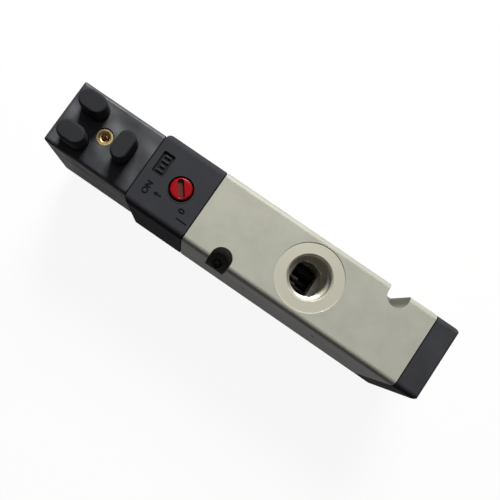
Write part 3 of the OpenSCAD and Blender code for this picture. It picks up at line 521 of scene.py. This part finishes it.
def text_mark(words, name, size, x, y):
    """Raised letters on the upper face, with their feet towards the end cap."""
    letters = bpy.data.curves.new(name, "FONT")
    letters.body = words
    letters.size = size
    letters.extrude = MARK_HEIGHT
    letters.offset = 0.05 * MM
    letters.align_x = "CENTER"
    letters.align_y = "CENTER"
    source = bpy.data.objects.new(name + "_curve", letters)
    bpy.context.scene.collection.objects.link(source)
    finished = source.evaluated_get(bpy.context.evaluated_depsgraph_get())
    data = bpy.data.meshes.new_from_object(finished)
    bpy.data.objects.remove(source)
    mesh = bmesh.new()
    mesh.from_mesh(data)
    bmesh.ops.transform(mesh, verts=mesh.verts, matrix=Matrix.Translation((x, y, top_z))
                        @ Matrix.Rotation(pi / 2, 4, "Z"))
    bmesh.ops.remove_doubles(mesh, verts=mesh.verts, dist=0.001 * MM)
    to_piece(mesh, name, "valve", "black_polymer", mark_shade_polymer)


text_mark("ON", "mark_on", 2.7 * MM, -33.0 * MM, -5.2 * MM)
text_mark("0", "mark_zero", 2.9 * MM, -20.3 * MM, -5.4 * MM)
line_mark = bmesh.new()
straight_bar(line_mark, (-20.6, -8.2, MARK_Z[0]), (-16.9, -7.85, MARK_Z[1]))
to_piece(line_mark, "mark_one", "valve", "black_polymer", mark_shade_polymer)
arrow = bmesh.new()
straight_bar(arrow, (-29.6, -5.5, MARK_Z[0]), (-27.9, -5.15, MARK_Z[1]))
tip = bmesh.ops.create_cone(arrow, cap_ends=True, segments=3, radius1=0.8 * MM,
                            radius2=0.8 * MM, depth=2 * MARK_HEIGHT)["verts"]
bmesh.ops.transform(arrow, verts=tip,
                    matrix=Matrix.Translation((-29.8 * MM, -5.32 * MM, top_z))
                    @ Matrix.Rotation(pi / 2, 4, "Z"))
to_piece(arrow, "mark_arrow", "valve", "black_polymer", mark_shade_polymer)
code_bars = bmesh.new()
for bar, length in enumerate(BAR_LENGTHS):
    y = BAR_Y + BAR_PITCH * bar
    straight_bar(code_bars, (BAR_X - length / 2, y, BAR_Z[0]),
                 (BAR_X + length / 2, y + BAR_WIDTH, BAR_Z[1]))
to_piece(code_bars, "code_bars", "valve", "black_polymer", bar_polymer)


# Manual override
# A red moulded slotted head in a well. A quarter turn with a screwdriver moves the brass pin
# below it, which lets air past the pilot valve. The slot's floor is a darker, duller red.
knob_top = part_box("override_knob")[1].z
KNOB_ROUND_ZONE = 2 * MM
SLOT_FLOOR_DEPTHS = (0.5 * MM, 1.2 * MM)
# Dyed polyamide from a polished mould: a deep, even red with a fairly sharp gloss.
red_polymer = moulded_polymer("polyamide_red", "#90000E", "#9C0212", 0.26, 0.4 * MM,
                              0.008 * MM, gloss=0.25)
slot_floor_red_polymer = moulded_polymer("polyamide_red_slot_floor", "#4A1410", "#5E2018", 0.5, 0.4 * MM,
                                   0.008 * MM, gloss=0.3)
finished_knob = eased("override_knob", "override_knob", "red_polymer", red_polymer,
                      width=0.26 * MM, split=True,
                      crisp=lambda middle: middle.z < knob_top - KNOB_ROUND_ZONE)
finished_knob.data.materials.append(slot_floor_red_polymer)
for face in finished_knob.data.polygons:
    depth = knob_top - face.center.z
    if face.normal.z > 0.9 and SLOT_FLOOR_DEPTHS[0] < depth < SLOT_FLOOR_DEPTHS[1]:
        face.material_index = 1
# Brass turned on a lathe, with a warm shine.
brass = uneven_finish("brass_turned", 0.9 * MM, "#CDB27C", "#E2CDA0", rough=0.32,
                      spread=0.14, Metallic=0.85)
paint(brass, "override_pin", "pilot_seat")
paint(steel, "knob_dowel")


# Solenoid head
# The coil is overmoulded in black polyamide, smoother than the rest, so that the light lies
# unevenly on it. The coil, its yoke and the core group are inside.
coil_overmould = moulded_polymer("polyamide_overmould", "#36373C", "#424448", 0.46, 0.5 * MM,
                                 0.02 * MM, gloss=0.44, sink=1.6 * MM)
eased("head_housing", "valve", "coil_overmould", coil_overmould, width=0.2 * MM)
# The bobbin is undyed polyester: cream, with a soft sheen.
bobbin_polymer = moulded_polymer("polyester_bobbin", "#DAD5C4", "#E4DFCF", 0.45, 0.3 * MM,
                                 0.01 * MM)
paint(bobbin_polymer, "coil_bobbin")


def enamelled_copper():
    """Copper wire under clear enamel, laid turn beside turn."""
    material, shader, place = new_finish("copper_enamelled", Metallic=1.0, Coat_Weight=0.6)
    along = add_node(material, "SeparateXYZ", place)[0]
    # The wire is 0.12 mm thick; its turns are drawn 0.4 mm apart so that they show.
    phase = add_node(material, "Math", along, tau / (0.4 * MM), operation="MULTIPLY")[0]
    turns = add_node(material, "Math", phase, operation="SINE")[0]
    colour = add_node(material, "ValToRGB", turns, stops=((0.2, "#7E3D26"),
                                                          (0.8, "#B9653F")))[0]
    bump = add_node(material, "Bump", Height=turns, Distance=0.05 * MM, Strength=0.6)[0]
    link(material, shader, Base_Color=colour, Normal=bump)
    return material


paint(enamelled_copper(), "coil_winding")
paint(steel, "magnet_yoke", "guide_tube", "fixed_core", "armature")


# Connector insert
# A brass bush with an M3 thread, moulded into the head for the plug's central screw. Its rim
# is countersunk and catches the light.
INSERT_R = 2.75 * MM
INSERT_HOLE_R = 1.5 * MM
INSERT_THREAD_DEPTH = 0.26 * MM
INSERT_THREAD_PITCH = 0.5 * MM
# The section stops a hair's breadth short of the axis, so that it turns into a closed ring.
AXIS_GAP = 0.01 * MM
insert_low, insert_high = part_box("connector_insert")
insert_x = (insert_low.x + insert_high.x) / 2
foot_z, rim_z = insert_low.z, insert_high.z
insert_section = [
    (AXIS_GAP, foot_z), (INSERT_R, foot_z), (INSERT_R, rim_z - 0.2 * MM),
    (INSERT_R - 0.2 * MM, rim_z), (INSERT_R - 0.75 * MM, rim_z),
    (INSERT_HOLE_R, rim_z - 0.5 * MM), (INSERT_HOLE_R, foot_z + 1.4 * MM),
    (AXIS_GAP, foot_z + 1.0 * MM)]
insert = bmesh.new()
ring = [insert.verts.new((insert_x + r, 0, z)) for r, z in insert_section]
edges = [insert.edges.new((a, b)) for a, b in zip(ring, ring[1:] + ring[:1])]
bmesh.ops.spin(insert, geom=[*ring, *edges], cent=(insert_x, 0, 0), axis=(0, 0, 1),
               dvec=(0, 0, 0), angle=tau, steps=64, use_merge=True)
bmesh.ops.remove_doubles(insert, verts=insert.verts, dist=0.001 * MM)
bmesh.ops.recalc_face_normals(insert, faces=insert.faces)
to_piece(insert, "connector_insert_turned", "valve", "brass", brass, "connector_insert")
thread_ridge("connector_insert_thread", insert_x, INSERT_HOLE_R, INSERT_THREAD_DEPTH,
             INSERT_THREAD_PITCH, foot_z + 1.8 * MM, rim_z - 0.75 * MM, brass, "brass",
             per_turn=32)


# Contact blades and their caps
# Tinned brass blades moulded into the head: two for the coil and one, set across, for ground.
# A soft dark push-on cap protects each one until the plug is fitted.
cap_foot_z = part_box("ground_cap")[0].z
# The tin coat is lightly smeared, and the polyethylene of the caps dull and waxy.
tinned_blade = uneven_finish("brass_tinned", 0.7 * MM, "#B9B9B4", "#CFCFCA", rough=0.3,
                             spread=0.2, Metallic=1.0)
cap_polymer = moulded_polymer("polyethylene_cap_dark", "#2A2B2E", "#2E2F32", 0.7, 0.5 * MM,
                              0.01 * MM, gloss=0.15)
for node in ("contact_blade_1", "contact_blade_2", "ground_blade"):
    eased(node, "valve", "tinned_contact", tinned_blade, width=0.1 * MM)
for node in ("contact_cap_1", "contact_cap_2", "ground_cap"):
    eased(node, node, "cap_polymer", cap_polymer, width=0.3 * MM, sharp=20,
          crisp=lambda middle: middle.z < cap_foot_z + 0.05 * MM)


# Light and floor
# One soft light stands beside the valve, on its +Y side, so that the other side is dark, and a
# dim panel hangs above. The camera sees a white floor with the valve's faint shadow on it.
WHITE_TO_CAMERA = 0.92
WHITE_IN_REFLECTIONS = 0.28
ROOM_LEVEL = 0.035
ROOM_WHITE_IN_REFLECTIONS = 0.02
SHADED_MARGIN = 2 * MM
FLOOR_HALF = 1.5
VALVE_MIDDLE = Vector((0, 0, 0.02))


def soft_light(name, place, size, power, colour):
    """A square lamp that faces the valve."""
    data = bpy.data.lights.new(name, "AREA")
    data.size = size
    data.energy = power
    data.color = linear(colour)[:3]
    lamp = bpy.data.objects.new(name, data)
    lamp.location = place
    lamp.rotation_euler = (VALVE_MIDDLE - Vector(place)).to_track_quat("-Z", "Y").to_euler()
    bpy.context.scene.collection.objects.link(lamp)


def seen_share(material, to_camera, in_reflections):
    """How much of the plain white a ray sees: more for the camera than for a reflection."""
    rays = add_node(material, "LightPath")
    reflected = add_node(material, "Math", rays["Is Glossy Ray"],
                         rays["Is Transmission Ray"], operation="MAXIMUM")[0]
    direct = add_node(material, "Math", rays["Is Camera Ray"], to_camera,
                      operation="MULTIPLY")[0]
    reflected = add_node(material, "Math", reflected, in_reflections,
                         operation="MULTIPLY")[0]
    return add_node(material, "Math", direct, reflected, operation="MAXIMUM")[0]


def pale_paper():
    """Floor paper: grey for the light that it throws back, white to the eye.

    It stays dark under the body, where the mounting holes look down on it.
    """
    material, shader, place = new_finish("floor_paper", Roughness=0.9)
    to_camera = add_node(material, "LightPath")["Is Camera Ray"]
    paper = add_node(material, "MixRGB", to_camera, linear("#747074"), linear("#FAFAFA"))[0]
    link(material, shader, Base_Color=paper)
    along, across, _ = add_node(material, "SeparateXYZ", place)
    off_port = add_node(material, "Math", along, upper_port.x, operation="SUBTRACT")[0]
    off_port = add_node(material, "Math", off_port, operation="ABSOLUTE")[0]
    off_axis = add_node(material, "Math", across, operation="ABSOLUTE")[0]
    past_end = add_node(material, "Math", off_port,
                        (body_high.x - body_low.x) / 2 - SHADED_MARGIN,
                        operation="GREATER_THAN")[0]
    past_side = add_node(material, "Math", off_axis, body_high.y - SHADED_MARGIN,
                         operation="GREATER_THAN")[0]
    in_open = add_node(material, "Math", past_end, past_side, operation="MAXIMUM")[0]
    seen = seen_share(material, WHITE_TO_CAMERA, WHITE_IN_REFLECTIONS)
    seen = add_node(material, "Math", seen, in_open, operation="MULTIPLY")[0]
    white = add_node(material, "Emission", Color=linear("#FFFFFF"), Strength=1.0)[0]
    mix = add_node(material, "MixShader", seen, shader.outputs[0], white)[0]
    link(material, material.node_tree.nodes["Material Output"], Surface=mix)
    return material


floor_mesh = bmesh.new()
bmesh.ops.create_grid(floor_mesh, x_segments=1, y_segments=1, size=FLOOR_HALF)
floor_data = bpy.data.meshes.new("floor")
floor_mesh.to_mesh(floor_data)
floor_mesh.free()
floor = bpy.data.objects.new("floor", floor_data)
bpy.context.scene.collection.objects.link(floor)
floor_data.materials.append(pale_paper())

soft_light("key", place=(-0.2, 0.7, 0.6), size=0.35, power=12.9, colour="#FFFEFA")
soft_light("overhead", place=(-0.06, 0.16, 0.9), size=0.7, power=0.4, colour="#FFFFFF")

world = bpy.data.worlds.new("world")
bpy.context.scene.world = world
world.use_nodes = True
room = world.node_tree.nodes["Background"]
room.inputs["Color"].default_value = linear("#F0EAFF")
room.inputs["Strength"].default_value = ROOM_LEVEL
backdrop = add_node(world, "Background", Color=linear("#FFFFFF"), Strength=1.0)[0]
sky = add_node(world, "MixShader", seen_share(world, 1.0, ROOM_WHITE_IN_REFLECTIONS),
               room.outputs[0], backdrop)[0]
link(world, world.node_tree.nodes["World Output"], Surface=sky)

bpy.context.scene.view_settings.view_transform = "Standard"
